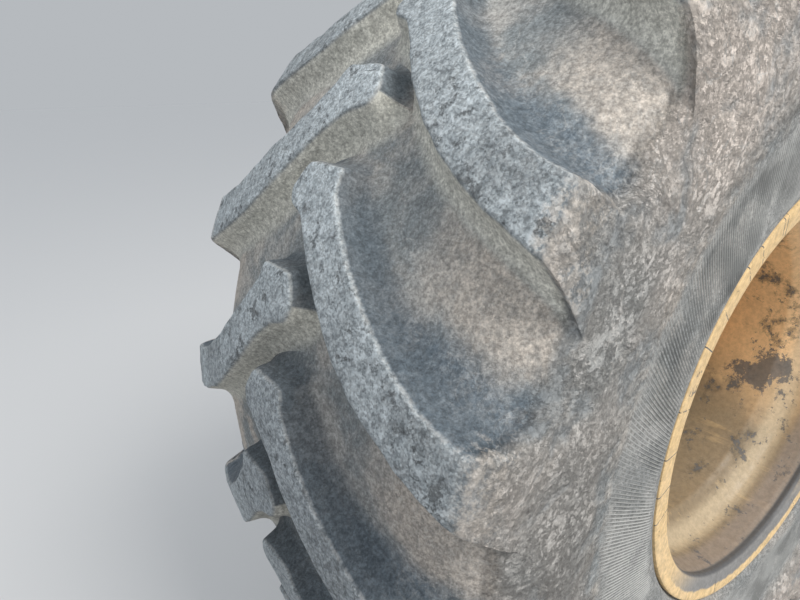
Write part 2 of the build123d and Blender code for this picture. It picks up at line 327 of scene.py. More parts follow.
# A lug's outline on its top: station across the tread in millimetres and angle in degrees
LUG_LEADING = [(61, 53.1), (62, 55.0), (97, 57.4), (134, 59.7), (162, 61.2), (209, 63.5), (256, 65.6),
               (298, 67.0), (340, 68.0), (380, 68.5), (430, 68.7), (480, 68.8), (508, 68.6)]
LUG_END = [(524, 70.8), (531, 73.4), (524, 76.1)]
LUG_TRAILING = [(508, 78.2), (480, 77.3), (450, 76.3), (425, 75.4), (402, 74.7), (380, 74.2), (330, 73.0),
                (290, 72.0), (250, 70.8), (202, 69.2), (170, 67.7), (149, 66.6), (109, 64.4), (77, 62.5),
                (45, 60.3), (0, 57.9)]
LUG_NOSE = [(-40, 57.1), (-49, 55.6), (-24, 53.1)]
# Steps down a lug's wall: distance out from the sharp edge, height as a share of the depth
LUG_WALL = [(-6.0, 1.0), (-3.2, 0.995), (-1.0, 0.975), (0.7, 0.935), (2.2, 0.86), (3.8, 0.74), (6.0, 0.585),
            (9.0, 0.43), (13.5, 0.29), (19.5, 0.175), (26.5, 0.092), (34.5, 0.040), (43.5, 0.014),
            (53.0, 0.002), (62.0, -0.005), (69.0, -0.03)]
# Radius at which angles are laid out flat as lengths, in millimetres, and rows of faces along a lug's top
LUG_SCALE, LUG_COLUMNS = 930.0, 15
# A rib's outer end and its length towards the rim, its slant, and half its width as a turn, in metres
RIB_END, RIB_REACH = 0.612, 0.155
RIB_SLANT, RIB_HALF_TURN = math.radians(26), 0.0023 / 0.54
# Place of the outer sidewall along the axle
SIDEWALL = MID - 0.385


def crown(place):
    """Radius of the lug tops at a place across the tread, in millimetres."""
    tyre = bpy.context.scene.wheel_tyre
    return 1000.0 * tyre.crown_radius - 0.001 * tyre.crown_fall * np.asarray(place, float) ** 2


def lug_section(station):
    """Foot radius, foot place, top radius and top place at stations across the tread."""
    depth = 1000.0 * bpy.context.scene.wheel_tyre.lug_depth
    inner = np.arange(-120.0, 290.0, 20.0)
    rows = np.column_stack([inner, crown(inner) - depth, inner, crown(inner), inner])
    rows = smooth_line(np.vstack([rows, LUG_SECTION]), 6.0)
    return [np.interp(station, rows[:, 0], rows[:, column]) for column in (1, 2, 3, 4)]


def even_loop(points, spacing, rounding):
    """A closed loop through the points, evenly spaced, its corners rounded."""
    points = np.vstack([points, points[:1]])
    reach = np.concatenate([[0], np.cumsum(np.linalg.norm(np.diff(points, axis=0), axis=1))])
    fine = np.arange(0, reach[-1], 1.0)
    loop = np.column_stack([np.interp(fine, reach, points[:, axis]) for axis in (0, 1)])
    beside = 40
    window = np.exp(-0.5 * (np.arange(-beside, beside + 1) / rounding) ** 2)
    window /= window.sum()
    wrapped = np.vstack([loop[-beside:], loop, loop[:beside]])
    loop = np.column_stack([np.convolve(wrapped[:, axis], window, "valid") for axis in (0, 1)])
    count = 2 * round(len(loop) / spacing / 2)
    return loop[np.round(np.linspace(0, len(loop), count, endpoint=False)).astype(int)]


def grow(loop, distance):
    """The loop moved outwards, in small steps that keep it smooth."""
    steps = max(1, math.ceil(abs(distance) / 2.0))
    for _ in range(steps):
        along = np.roll(loop, -1, axis=0) - np.roll(loop, 1, axis=0)
        out = np.column_stack([along[:, 1], -along[:, 0]])
        out /= np.linalg.norm(out, axis=1)[:, None]
        loop = loop + out * distance / steps
        loop = 0.7 * loop + 0.15 * (np.roll(loop, 1, axis=0) + np.roll(loop, -1, axis=0))
    return loop


def row_faces(rim, first, columns):
    """Rows of faces across a loop of vertices, with new vertices numbered from first."""
    half = len(rim) // 2
    faces = []
    before = None
    for i in range(half + 1):
        left, right = rim[i], rim[(len(rim) - i) % len(rim)]
        if left == right:
            row = [left] * (columns + 1)
        else:
            row = [left, *range(first, first + columns - 1), right]
            first += columns - 1
        if before:
            for a, b, c, d in zip(before, row, row[1:], before[1:]):
                faces.append(tuple(dict.fromkeys((a, b, c, d))))
        before = row
    return [face for face in faces if len(face) > 2]


def row_points(loop, columns):
    """The new vertices that row_faces numbers, between the two sides of a loop."""
    half = len(loop) // 2
    points = []
    for i in range(1, half):
        left, right = loop[i], loop[len(loop) - i]
        for column in range(1, columns):
            points.append(left + (right - left) * column / columns)
    return np.array(points).reshape(-1, loop.shape[1])


def flat_lug():
    """One lug laid out flat: its vertices (along, station, height, distance out) and its faces."""
    sides = [*LUG_LEADING, *LUG_END, *LUG_TRAILING, *LUG_NOSE]
    sharp = np.array([(math.radians(angle) * LUG_SCALE, station) for station, angle in sides])
    edge = even_loop(sharp, 6.9, 5.0)
    if np.sum(edge[:, 0] * np.roll(edge[:, 1], -1) - edge[:, 1] * np.roll(edge[:, 0], -1)) < 0:
        edge = edge[::-1]
    tip = sharp[len(LUG_LEADING) + 1]
    edge = np.roll(edge, -int(np.argmin(np.linalg.norm(edge - tip, axis=1))), axis=0)
    count = len(edge)
    loops = [np.column_stack([grow(edge, out), np.full(count, high), np.full(count, out)])
             for out, high in LUG_WALL]
    top = row_points(loops[0], LUG_COLUMNS)
    vertices = np.vstack([*loops, top])
    faces = []
    for ring in range(len(loops) - 1):
        for i in range(count):
            j = (i + 1) % count
            faces.append((ring * count + i, (ring + 1) * count + i, (ring + 1) * count + j, ring * count + j))
    faces += row_faces(list(range(count)), len(loops) * count, LUG_COLUMNS)
    last = (len(loops) - 1) * count
    faces += row_faces(list(range(last, last + count)), 0, 1)
    return vertices, faces


def ahead_of_lug(along, station):
    """How far in front of the lug behind it a spot of the tread lies, round the tyre, in millimetres."""
    pitch = math.tau * LUG_SCALE / bpy.context.scene.wheel_tyre.lugs
    front, back = (np.interp(station, *np.array(sorted(side)).T) for side in (LUG_LEADING, LUG_TRAILING))
    gap = np.mod(np.radians(front) * LUG_SCALE - along, pitch)
    # The half of a lug next to its front edge counts as that edge
    return np.where(gap > pitch - 0.5 * np.radians(back - front) * LUG_SCALE, 0.0, gap)


def note(piece, name, values):
    """Stores one value for each vertex under a name."""
    layer = piece.data.attributes.new(name=name, type="FLOAT", domain="POINT")
    layer.data.foreach_set("value", np.asarray(values, np.float32))


def zone_attribute(piece, zones):
    """Stores how much each vertex belongs to the lug tops, the worn edges that get a painted highlight, and the
    valleys.
    """
    layer = piece.data.color_attributes.new(name="zones", type="FLOAT_COLOR", domain="POINT")
    rows = np.column_stack([zones, np.ones(len(zones))]).astype(np.float32)
    layer.data.foreach_set("color", rows.ravel())


def scuffed_share(radius, place):
    """How much of the torn shoulder there is at a radius and a place, in metres."""
    share = np.clip((place - 0.362) / 0.02, 0, 1)
    return share * np.clip((radius - 0.6) / 0.05, 0, 1) * np.clip((0.90 - radius) / 0.05, 0, 1)


def wrap_lugs(name, side):
    """All the lugs of one side, wrapped round the tyre from the flat one. side is -1 outside, 1 inside."""
    tyre = bpy.context.scene.wheel_tyre
    flat, faces = flat_lug()
    along, station, high, outward = flat.T
    foot_radius, foot_place, top_radius, top_place = lug_section(station)
    before, after = lug_section(station - 2.0), lug_section(station + 2.0)
    out = np.column_stack([after[1] - before[1], before[0] - after[0]])
    out /= np.linalg.norm(out, axis=1)[:, None]
    sunk = np.interp(high, [-0.03, -0.01], [1.0, 0.0]) + np.interp(station, [488, 515, 545], [0, 1.0, 4.0])
    radius = 0.001 * (foot_radius + (top_radius - foot_radius) * high - sunk * out[:, 0])
    place = 0.001 * (foot_place + (top_place - foot_place) * high - sunk * out[:, 1])
    pitch = math.tau / tyre.lugs
    start = tyre.turn + (0.5 * pitch if side > 0 else 0.0)
    vertices = []
    for i in range(tyre.lugs):
        turn = along / LUG_SCALE + start + i * pitch
        vertices.append(np.column_stack([-radius * np.sin(turn), MID + side * place, radius * np.cos(turn)]))
    count = len(flat)
    every = [tuple(v + i * count for v in face) for i in range(tyre.lugs) for face in faces]
    if side > 0:
        every = [face[::-1] for face in every]
    mesh = bpy.data.meshes.new(name)
    mesh.from_pydata(np.vstack(vertices), [], every)
    mesh.update()
    piece = bpy.data.objects.new(name, mesh)
    bpy.context.scene.collection.objects.link(piece)
    end = np.clip((station - 376.0) / 14.0, 0, 1)
    top = np.clip((high - 0.9) / 0.08, 0, 1) * (1 - 0.8 * end)
    rim = np.exp(-(((high - 0.95) / 0.05) ** 2)) * (1 - 0.7 * end)
    deep = np.clip(outward / 60.0, 0, 1)
    zone_attribute(piece, np.tile(np.column_stack([top, rim, deep]), (tyre.lugs, 1)))
    note(piece, "ahead", np.tile(0.001 * ahead_of_lug(along, station), tyre.lugs))
    note(piece, "station", np.tile(0.001 * station, tyre.lugs))
    edge = np.exp(-(((high - 0.93) / 0.08) ** 2)) * np.clip((478.0 - station) / 40.0, 0, 1)
    weigh(piece, "edge", np.tile(edge, tyre.lugs))
    weigh(piece, "skin", np.ones(len(flat) * tyre.lugs))
    weigh(piece, "scuffed", np.tile(scuffed_share(radius, place), tyre.lugs))
    return piece


# Finishes
def feed(tree, socket, value):
    """Links a socket to another node's output, or sets its number, vector or colour."""
    if isinstance(value, bpy.types.NodeSocket):
        tree.links.new(value, socket)
    elif isinstance(value, (int, float)):
        socket.default_value = value
    else:
        socket.default_value = (*value, 1.0) if len(socket.default_value) == 4 else value


def add_node(tree, kind, inputs=None, **settings):
    """Adds a node with these settings and feeds its inputs, which are given by name or number."""
    node = tree.nodes.new("ShaderNode" + kind)
    for name, value in settings.items():
        setattr(node, name, value)
    for name, value in (inputs or {}).items():
        feed(tree, node.inputs[name], value)
    return node


class Finish:
    """A material whose nodes are added one by one."""

    def __init__(self, name, roughness):
        self.material = bpy.data.materials.new(name)
        self.material.use_nodes = True
        self.tree = self.material.node_tree
        self.shader = self.tree.nodes["Principled BSDF"]
        self.shader.inputs["Roughness"].default_value = roughness
        self.coords = self.add("TexCoord").outputs["Object"]

    def add(self, kind, inputs=None, **settings):
        return add_node(self.tree, kind, inputs, **settings)

    def noise(self, scale, detail=4.0, rough=0.55, bend=0.0, stretch=None, coords=None):
        if stretch:
            coords = self.mapped(scale=stretch)
        return self.add("TexNoise", {"Vector": coords or self.coords, "Scale": scale, "Detail": detail,
                                     "Roughness": rough, "Distortion": bend}).outputs["Fac"]

    def grains(self, scale):
        """Small grains, each of its own value."""
        return self.add("TexVoronoi", {"Vector": self.coords, "Scale": scale}).outputs["Color"]

    def mapped(self, scale=(1, 1, 1), place=(0, 0, 0)):
        return self.add("Mapping", {"Vector": self.coords, "Location": place, "Scale": scale}).outputs["Vector"]

    def span(self, value, low, high, start=0.0, end=1.0):
        """A smooth step of a value from low to high."""
        return self.add("MapRange", {"Value": value, "From Min": low, "From Max": high, "To Min": start,
                                     "To Max": end}, interpolation_type="SMOOTHSTEP").outputs["Result"]

    def reckon(self, operation, a, b=0.0, c=0.0):
        return self.add("Math", {0: a, 1: b, 2: c}, operation=operation).outputs["Value"]

    def times(self, first, *others):
        """All the values multiplied."""
        for other in others:
            first = self.reckon("MULTIPLY", first, other)
        return first

    def plus(self, a, b, c):
        """The first value times the second, plus the third."""
        return self.reckon("MULTIPLY_ADD", a, b, c)

    def most(self, first, *others):
        """The greatest of the values."""
        for other in others:
            first = self.reckon("MAXIMUM", first, other)
        return first

    def blend(self, share, first, second, mode="MIX"):
        return self.add("Mix", {0: share, 6: first, 7: second}, data_type="RGBA", blend_type=mode).outputs[2]

    def grey(self, value):
        return self.add("CombineColor", {0: value, 1: value, 2: value}).outputs["Color"]

    def noted(self, name, output="Fac"):
        """What was noted on the mesh under this name."""
        return self.add("Attribute", attribute_name=name).outputs[output]

    def zones(self):
        """The shares of lug top, worn edge with its painted highlight, and valley."""
        parts = self.add("SeparateColor", {"Color": self.noted("zones", "Color")}).outputs
        return parts["Red"], parts["Green"], parts["Blue"]

    def spread(self):
        """The coordinates on their own."""
        parts = self.add("SeparateXYZ", {"Vector": self.coords}).outputs
        return parts["X"], parts["Y"], parts["Z"]

    def from_axle(self):
        """Distance from the axle, and the place along it from the mid-plane."""
        x, y, z = self.spread()
        return self.reckon("SQRT", self.plus(z, z, self.times(x, x))), self.reckon("SUBTRACT", y, MID)

    def height(self):
        """Height over the axle."""
        return self.spread()[2]

    def turn(self):
        """Angle about the axle, from straight up towards the front, in radians up to a full turn."""
        x, y, z = self.spread()
        return self.reckon("WRAP", self.reckon("ARCTAN2", self.times(x, -1.0), z), math.tau)

    def spot(self, centre, reach):
        """1 at a place on the piece, falling to 0 at this distance."""
        away = self.add("VectorMath", {0: self.coords, 1: centre}, operation="DISTANCE").outputs["Value"]
        return self.span(away, reach, 0.2 * reach)

    def lines(self, pattern, wide, thin):
        """1 on thin lines where a noise passes its middle value, and 0 beside them."""
        return self.span(self.reckon("ABSOLUTE", self.reckon("SUBTRACT", pattern, 0.5)), wide, thin)

    def bump(self, height, distance, strength=1.0, under=None):
        inputs = {"Height": height, "Distance": distance, "Strength": strength}
        if under:
            inputs["Normal"] = under
        return self.add("Bump", inputs).outputs["Normal"]

    def done(self, colour, normal=None, roughness=None, metallic=None):
        for name, value in (("Base Color", colour), ("Normal", normal), ("Roughness", roughness),
                            ("Metallic", metallic)):
            if value is not None:
                feed(self.tree, self.shader.inputs[name], value)
        return self.material

    def words(self):
        """What a long finish calls by a bare name."""
        return (self.noise, self.span, self.blend, self.times, self.plus, self.most, self.reckon, self.spot,
                self.grey)


def shade(tone, *factors):
    """A colour times one factor, or times a factor for each of its channels."""
    return [factor * part for factor, part in zip(factors * 3, tone)]


def rubber_finish():
    """Worn, dusty rubber: granular lug tops, smooth flanks, a torn and scuffed shoulder, dry mud, with painted light
    on the rear flanks and the sidewall, and painted shade in creases, hollows, grooves and over the front of the
    tread.
    """
    tyre = bpy.context.scene.wheel_tyre
    rubber = Finish("worn_rubber", 0.88)
    noise, span, blend, times, plus, most, reckon, spot, grey = rubber.words()
    top, edge, deep = rubber.zones()
    radius, place = rubber.from_axle()
    away = reckon("ABSOLUTE", place)
    side = span(away, 0.372, 0.384)
    broad = noise(2.1, 3, 0.5, coords=rubber.mapped(place=(0.35, 0.1, 0.6)))
    clouds = noise(10.0, 8, 0.6, bend=0.3)
    mottle = noise(90.0, 8, 0.72)
    grain = rubber.grains(360.0)
    flecks = noise(150.0, 5, 0.85)
    torn = noise(10.0, 8, 0.58, bend=0.2)
    pitted = noise(36.0, 9, 0.78)
    # Places on the tread: how far ahead of a lug, and how far across, both with wavy limits
    in_front = rubber.noted("ahead")
    ahead = plus(clouds, 0.09, reckon("ADD", in_front, -0.045))
    across = plus(clouds, 0.12, reckon("ADD", rubber.noted("station"), -0.06))
    not_top = span(top, 0.6, 0.1)

    # Valleys with drifts of dust, smooth rear flanks made pale with painted light, a blue-grey band of painted shade
    # and wet rubber in front of each lug, and painted shade at each lug's front foot
    valley = blend(span(clouds, 0.36, 0.66), tyre.deep_colour,
                   [0.7 * d + 0.45 * c for c, d in zip(tyre.dust_colour, tyre.deep_colour)])
    dust = most(times(span(broad, 0.46, 0.6), span(clouds, 0.44, 0.58)), span(flecks, 0.63, 0.70, 0.0, 0.6))
    valley = blend(dust, valley, tyre.dust_colour)
    # Rear flanks of the lugs made pale with painted light, paler still towards their outer ends, where the lamp
    # leaves them in shade
    lit_flank = times(span(deep, 0.8, 0.3), not_top, span(in_front, 0.09, 0.14))
    smooth = blend(span(across, 0.30, 0.42), tyre.flank_lit_colour, shade(tyre.flank_lit_colour, 1.3))
    tone = blend(lit_flank, valley, smooth)
    settled = times(span(ahead, 0.055, 0.105), span(across, 0.17, 0.29), span(across, 0.47, 0.43), not_top,
                    span(lit_flank, 0.7, 0.1, 0.1, 1.0))
    tone = blend(times(settled, span(mottle, 0.35, 0.6, 0.65, 1.0)), tone, tyre.dust_colour)
    # A blue-grey band in front of each lug: painted shade beside the lug's side wall, with wet rubber
    reach = reckon("SUBTRACT", ahead, span(across, 0.17, 0.32, 0.025, 0.075))
    damp_and_shade = times(span(reach, 0.028, -0.028), span(across, 0.0, 0.10), span(across, 0.47, 0.42),
                 span(across, 0.10, 0.25, 0.6, 1.0))
    tone = blend(times(damp_and_shade, span(mottle, 0.35, 0.62, 0.9, 0.55)), tone, tyre.damp_and_shade_colour)
    # Painted shade in the crease at the foot of each lug's front
    foot = times(span(deep, 0.75, 0.2), span(in_front, 0.06, 0.035), not_top)
    tone = blend(times(foot, 0.7), tone, shade(tyre.damp_and_shade_colour, 0.55))

    # Lug tops, paler towards the crown
    lug_top = blend(span(clouds, 0.36, 0.62), shade(tyre.top_colour, 0.74), shade(tyre.top_colour, 1.24))
    for share, factor in ((span(broad, 0.5, 0.64, 0.0, 0.6), 1.45), (span(across, 0.27, 0.08, 0.0, 0.6), 1.4),
                          (span(pitted, 0.56, 0.64, 0.0, 0.55), 1.6)):
        lug_top = blend(share, lug_top, shade(tyre.top_colour, factor))
    tone = blend(top, tone, lug_top)

    # Shoulder and sidewall, with pale places that are partly painted light, painted shade towards the front, and
    # dust at the lugs' corners
    pale = span(broad, 0.42, 0.6, 0.0, 0.6)
    # Three spots of painted light that brighten the sidewall, over pale patches of the rubber
    for x, z, wide in ((-0.50, 0.62, 0.33), (0.61, 0.42, 0.28), (0.33, -0.70, 0.30)):
        pale = most(pale, spot((x, SIDEWALL, z), wide))
    wall = blend(pale, tyre.wall_colour, shade(tyre.wall_colour, 1.9, 1.68, 1.55))
    wall = blend(span(clouds, 0.50, 0.36, 0.0, 0.8), wall, shade(tyre.wall_colour, 0.66, 0.72, 0.78))
    # Painted shade towards the front of the sidewall
    wall_shade_spot = spot((-0.63, SIDEWALL, -0.03), 0.30)
    wall = blend(times(wall_shade_spot, 0.55), wall, shade(tyre.wall_colour, 0.62))
    wall = blend(span(radius, 0.475, 0.462), wall, shade(tyre.wall_colour, 0.95))
    tone = blend(times(side, span(top, 0.9, 0.3)), tone, wall)
    corner = times(span(across, 0.360, 0.385), span(across, 0.455, 0.425), span(deep, 0.3, 0.05),
                   span(mottle, 0.44, 0.56))
    tone = blend(times(corner, 0.6), tone, shade(tyre.dust_colour, 1.2))
    # Painted shade in the grooves between the sidewall ribs
    rib_groove_shade = times(span(radius, RIB_END, 0.60), span(radius, 0.442, 0.450))
    tone = blend(times(rib_groove_shade, 0.7), tone, shade(tyre.wall_colour, 0.62))

    # Pale scars and scratches, and painted shade in the torn hollows
    worn = times(span(radius, 0.585, 0.64), span(radius, 0.925, 0.86), span(away, 0.365, 0.383),
                 span(clouds, 0.36, 0.6, 0.3, 1.0))
    vein = rubber.lines(noise(6.0, 5, 0.62, bend=0.6), 0.010, 0.003)
    scratch = rubber.lines(noise(15.0, 3, 0.6, bend=0.9), 0.016, 0.005)
    vein = most(vein, times(scratch, span(clouds, 0.46, 0.54)))
    bright = times(most(span(flecks, 0.635, 0.68), vein), most(worn, times(deep, 0.35)))
    tone = blend(times(bright, 0.7), tone, tyre.scuff_colour)
    # Painted shade in the torn hollows
    low = times(span(torn, 0.45, 0.38), worn)
    tone = blend(times(low, 0.6), tone, shade(tyre.wall_colour, 0.5))

    # Grain over all, pale worn edges with a painted highlight, dark pits and slits, and painted shade over the front
    # of the tread
    rough = times(plus(top, 0.5, 0.5), span(side, 0.0, 1.0, 1.0, 0.7))
    tone = blend(rough, tone, grey(span(mottle, 0.36, 0.64, 0.70, 1.30)), "MULTIPLY")
    tone = blend(rough, tone, grey(span(grain, 0.2, 0.8, 0.72, 1.28)), "MULTIPLY")
    sand = times(span(top, 1.0, 0.0), span(side, 0.0, 1.0, 1.0, 0.45))
    tone = blend(sand, tone, grey(span(flecks, 0.40, 0.60, 0.76, 1.24)), "MULTIPLY")
    # Pale edges of the lug tops: worn rubber with a painted highlight
    tone = blend(times(edge, span(mottle, 0.42, 0.6, 0.0, 0.4)), tone, tyre.scuff_colour)
    pits = times(span(pitted, 0.44, 0.38), span(clouds, 0.38, 0.52))
    slits = noise(26.0, 4, 0.6, stretch=(1.0, 0.22, 1.0))
    slit = times(span(slits, 0.345, 0.315), span(clouds, 0.44, 0.54))
    dark = times(most(times(pits, 0.6), times(slit, 0.7)), top)
    tone = blend(dark, tone, (0.085, 0.088, 0.09))
    # Painted shade over the front of the tread
    tone = blend(spot((-0.95, MID - 0.10, 0.0), 0.46), tone, (0.72, 0.72, 0.73), "MULTIPLY")

    relief = plus(dark, -0.8, times(plus(grain, 0.12, mottle), plus(top, 0.65, 0.35)))
    small = rubber.bump(relief, 0.0045, 0.85)
    height = plus(span(torn, 0.43, 0.53), 0.16, torn)
    height = times(plus(span(pitted, 0.44, 0.54), 0.12, height), worn)
    return rubber.done(tone, rubber.bump(height, 0.036, 0.9, small))


def rib_finish():
    """Fine sidewall ribs with pale worn crests over grooves darkened with painted shade."""
    tyre = bpy.context.scene.wheel_tyre
    rubber = Finish("rib_rubber", 0.85)
    crest = rubber.zones()[0]
    clouds, flecks = rubber.noise(10.0, 8, 0.6, bend=0.3), rubber.noise(150.0, 5, 0.85)
    pale = rubber.times(rubber.span(crest, 0.3, 0.8), rubber.span(clouds, 0.38, 0.58, 0.4, 1.0))
    # Grooves between the crests darkened with painted shade; crests paler from wear
    tone = rubber.blend(pale, shade(tyre.wall_colour, 0.43), shade(tyre.wall_colour, 1.18))
    tone = rubber.blend(rubber.times(pale, rubber.span(flecks, 0.56, 0.66)), tone, tyre.scuff_colour)
    return rubber.done(tone, rubber.bump(flecks, 0.0012, 0.6))


# Angles of the nicks across the rim's outer lip, in degrees
LIP_NICKS = (26.7, 28.1, 36.7, 42.2, 52.2, 60.1, 73.8, 84.4, 93.6, 101.0, 163.0, 211.5, 250.4, 322.0)


def rim_finish(name):
    """Pale yellow paint, stained ochre inside the barrel, brightened with painted light towards the top and darker
    towards the bottom, with greasy dirt, painted shade in the gutter, grey low on the lip, nicks and chips.
    """
    rim = bpy.context.scene.wheel_rim
    paint = Finish(name, 0.5)
    noise, span, blend, times, plus, most, reckon, spot, grey = paint.words()
    radius, place = paint.from_axle()
    height, turn = paint.height(), paint.turn()
    stain, fine = noise(13.0, 10, 0.74), noise(85.0, 8, 0.72)
    inside = times(span(place, -0.352, -0.342), span(radius, 0.404, 0.397))

    # Paint of the lips, and ochre inside, brightened with painted light towards the top and darker towards the
    # bottom
    tone = blend(span(fine, 0.35, 0.65), shade(rim.paint_colour, 0.88), rim.paint_colour)
    # Darker towards the bottom; the ochre above is made bright as painted light
    low = span(plus(noise(3.6, 4, 0.6), 0.35, height), 0.16, -0.10)
    ochre = blend(low, rim.ochre_lit_colour, rim.khaki_colour)
    streaks = noise(30.0, 5, 0.6, stretch=(1.0, 0.15, 1.0))
    ochre = blend(span(streaks, 0.56, 0.66, 0.0, 0.25), ochre, rim.paint_colour)
    ochre = blend(span(stain, 0.52, 0.60, 0.0, 0.5), ochre, shade(rim.khaki_colour, 0.6))
    slope = times(span(place, -0.290, -0.265), span(place, -0.222, -0.245), 0.6)
    ochre = blend(slope, ochre, (0.60, 0.49, 0.33))
    front = times(span(place, -0.280, -0.305), 0.75, low)
    ochre = blend(front, ochre, (0.27, 0.225, 0.19))
    tone = blend(inside, tone, ochre)

    # Greasy patches, and dirt with painted shade in the gutter behind the outer lip, more towards the bottom
    greasy = stain
    for centre, wide, more in (((0.334, MID - 0.165, -0.10), 0.10, 0.15), ((0.328, MID - 0.235, -0.125), 0.10, 0.15),
                               ((0.28, MID - 0.28, -0.27), 0.09, 0.09)):
        greasy = plus(spot(centre, wide), more, greasy)
    grime_and_shade = times(span(plus(fine, 0.48, greasy), 0.825, 0.89), inside, 0.85)
    # Painted shade with dirt in the gutter behind the outer lip, more towards the bottom
    gutter = times(span(place, -0.357, -0.353), span(place, -0.334, -0.342), span(radius, 0.402, 0.398),
                   most(span(height, 0.15, -0.2), 0.5))
    grime_and_shade = most(grime_and_shade, times(gutter, span(fine, 0.2, 0.5, 0.7, 1.0)))

    # Chips and nicks, and grey on the lip towards the bottom
    chipped = plus(spot((-0.389, MID - 0.36, 0.157), 0.05), 0.09, noise(52.0, 8, 0.76))
    nick = 0.0
    for angle in LIP_NICKS:
        nick = most(nick, reckon("COMPARE", turn, math.radians(angle), 0.0024))
    nick = times(nick, span(noise(60.0, 4, 0.7), 0.42, 0.46), span(place, -0.35, -0.357))
    # Grey on the lip towards the bottom
    grey_on_low_lip = times(span(height, -0.22, -0.36), span(plus(stain, 0.03, radius), 0.441, 0.436),
                  span(place, -0.336, -0.346), 0.95)
    tone = blend(grey_on_low_lip, tone, rim.dust_colour)
    dark = most(grime_and_shade, most(times(span(chipped, 0.635, 0.66), 0.8), nick))
    tone = blend(dark, tone, rim.grime_and_shade_colour)
    tone = blend(1.0, tone, grey(span(fine, 0.3, 0.7, 0.85, 1.15)), "MULTIPLY")

    # Relief of the dirt, and ripples along the disc's weld
    bead = times(span(radius, 0.3365, 0.340), span(place, -0.066, -0.060), span(place, -0.012, -0.018))
    ripple = reckon("SINE", plus(fine, 5.0, times(turn, 400.0)))
    relief = plus(times(ripple, bead), 0.7, plus(fine, 0.35, times(dark, -0.8)))
    return paint.done(tone, paint.bump(relief, 0.0012, 0.6), span(stain, 0.4, 0.65, 0.45, 0.75))


def paint_finish(name, colour, dirt, shine=0.5):
    """Old paint with grease, dust and chips down to rusty steel."""
    paint = Finish(name, shine)
    broad, stain = paint.noise(7.0, 4, 0.6), paint.noise(19.0, 10, 0.74)
    fine = paint.noise(95.0, 8, 0.72)
    tone = paint.blend(paint.span(broad, 0.4, 0.62), shade(colour, 0.78), colour)
    tone = paint.blend(paint.span(stain, 0.47, 0.62, 0.0, 0.8), tone, dirt)
    chip = paint.span(paint.noise(48.0, 8, 0.77), 0.615, 0.64)
    tone = paint.blend(paint.times(chip, 0.85), tone, (0.10, 0.055, 0.035))
    tone = paint.blend(1.0, tone, paint.grey(paint.span(fine, 0.3, 0.7, 0.82, 1.18)), "MULTIPLY")
    relief = paint.plus(chip, -0.7, fine)
    return paint, tone, paint.bump(relief, 0.0013, 0.7), paint.span(stain, 0.4, 0.65, shine, shine + 0.3)


def steel_finish(name, colour, rust, amount=0.55):
    """Dull metal with rust or tarnish in patches."""
    steel = Finish(name, 0.4)
    stain, fine = steel.noise(60.0, 9, 0.75), steel.noise(260.0, 5, 0.7)
    rusty = steel.span(stain, amount, amount + 0.10)
    tone = steel.blend(rusty, colour, rust)
    tone = steel.blend(1.0, tone, steel.grey(steel.span(fine, 0.3, 0.7, 0.8, 1.15)), "MULTIPLY")
    metallic = steel.plus(rusty, -0.75, 0.9)
    return steel.done(tone, steel.bump(fine, 0.0006, 0.6), steel.span(stain, 0.4, 0.65, 0.36, 0.75), metallic)


def plastic_finish(name, colour):
    """Dusty plastic with fine scratches."""
    plastic = Finish(name, 0.55)
    dust, fine = plastic.noise(70.0, 8, 0.7), plastic.noise(400.0, 4, 0.7)
    tone = plastic.blend(plastic.span(dust, 0.46, 0.64, 0.0, 0.6), colour, (0.22, 0.20, 0.17))
    return plastic.done(tone, plastic.bump(fine, 0.0003, 0.5), plastic.span(dust, 0.4, 0.6, 0.45, 0.8))


def by_path(tree, thrown, seen):
    """One colour for the light thrown on the object, and one for the camera, gloss and glass."""
    path = add_node(tree, "LightPath").outputs
    share = path["Is Camera Ray"]
    for name in ("Is Glossy Ray", "Is Transmission Ray"):
        share = add_node(tree, "Math", {0: share, 1: path[name]}, operation="MAXIMUM").outputs["Value"]
    return add_node(tree, "Mix", {0: share, 6: thrown, 7: seen}, data_type="RGBA").outputs[2]


def stage_finish(colour):
    """Pale to the camera and in gloss, and darker to the light that the floor throws back."""
    floor = Finish("stage_pale", 0.9)
    return floor.done(by_path(floor.tree, shade(colour, 0.78), colour))


# Pieces
def carcass_outline():
    """The tyre's section as a closed outline in metres, and how many of its points are outside."""
    depth = 1000.0 * bpy.context.scene.wheel_tyre.lug_depth
    floor = [(float(crown(place)) - depth, place) for place in range(0, 240, 40)]
    half = smooth_line([*floor, *CARCASS_SHOULDER], 9.5)
    outside = np.vstack([half[::-1] * (1, -1), half[1:]])
    liner = np.array(BEAD_AND_LINER, float)
    inside = np.vstack([liner, liner[::-1] * (1, -1)])
    return 0.001 * np.vstack([outside, inside]), len(outside)


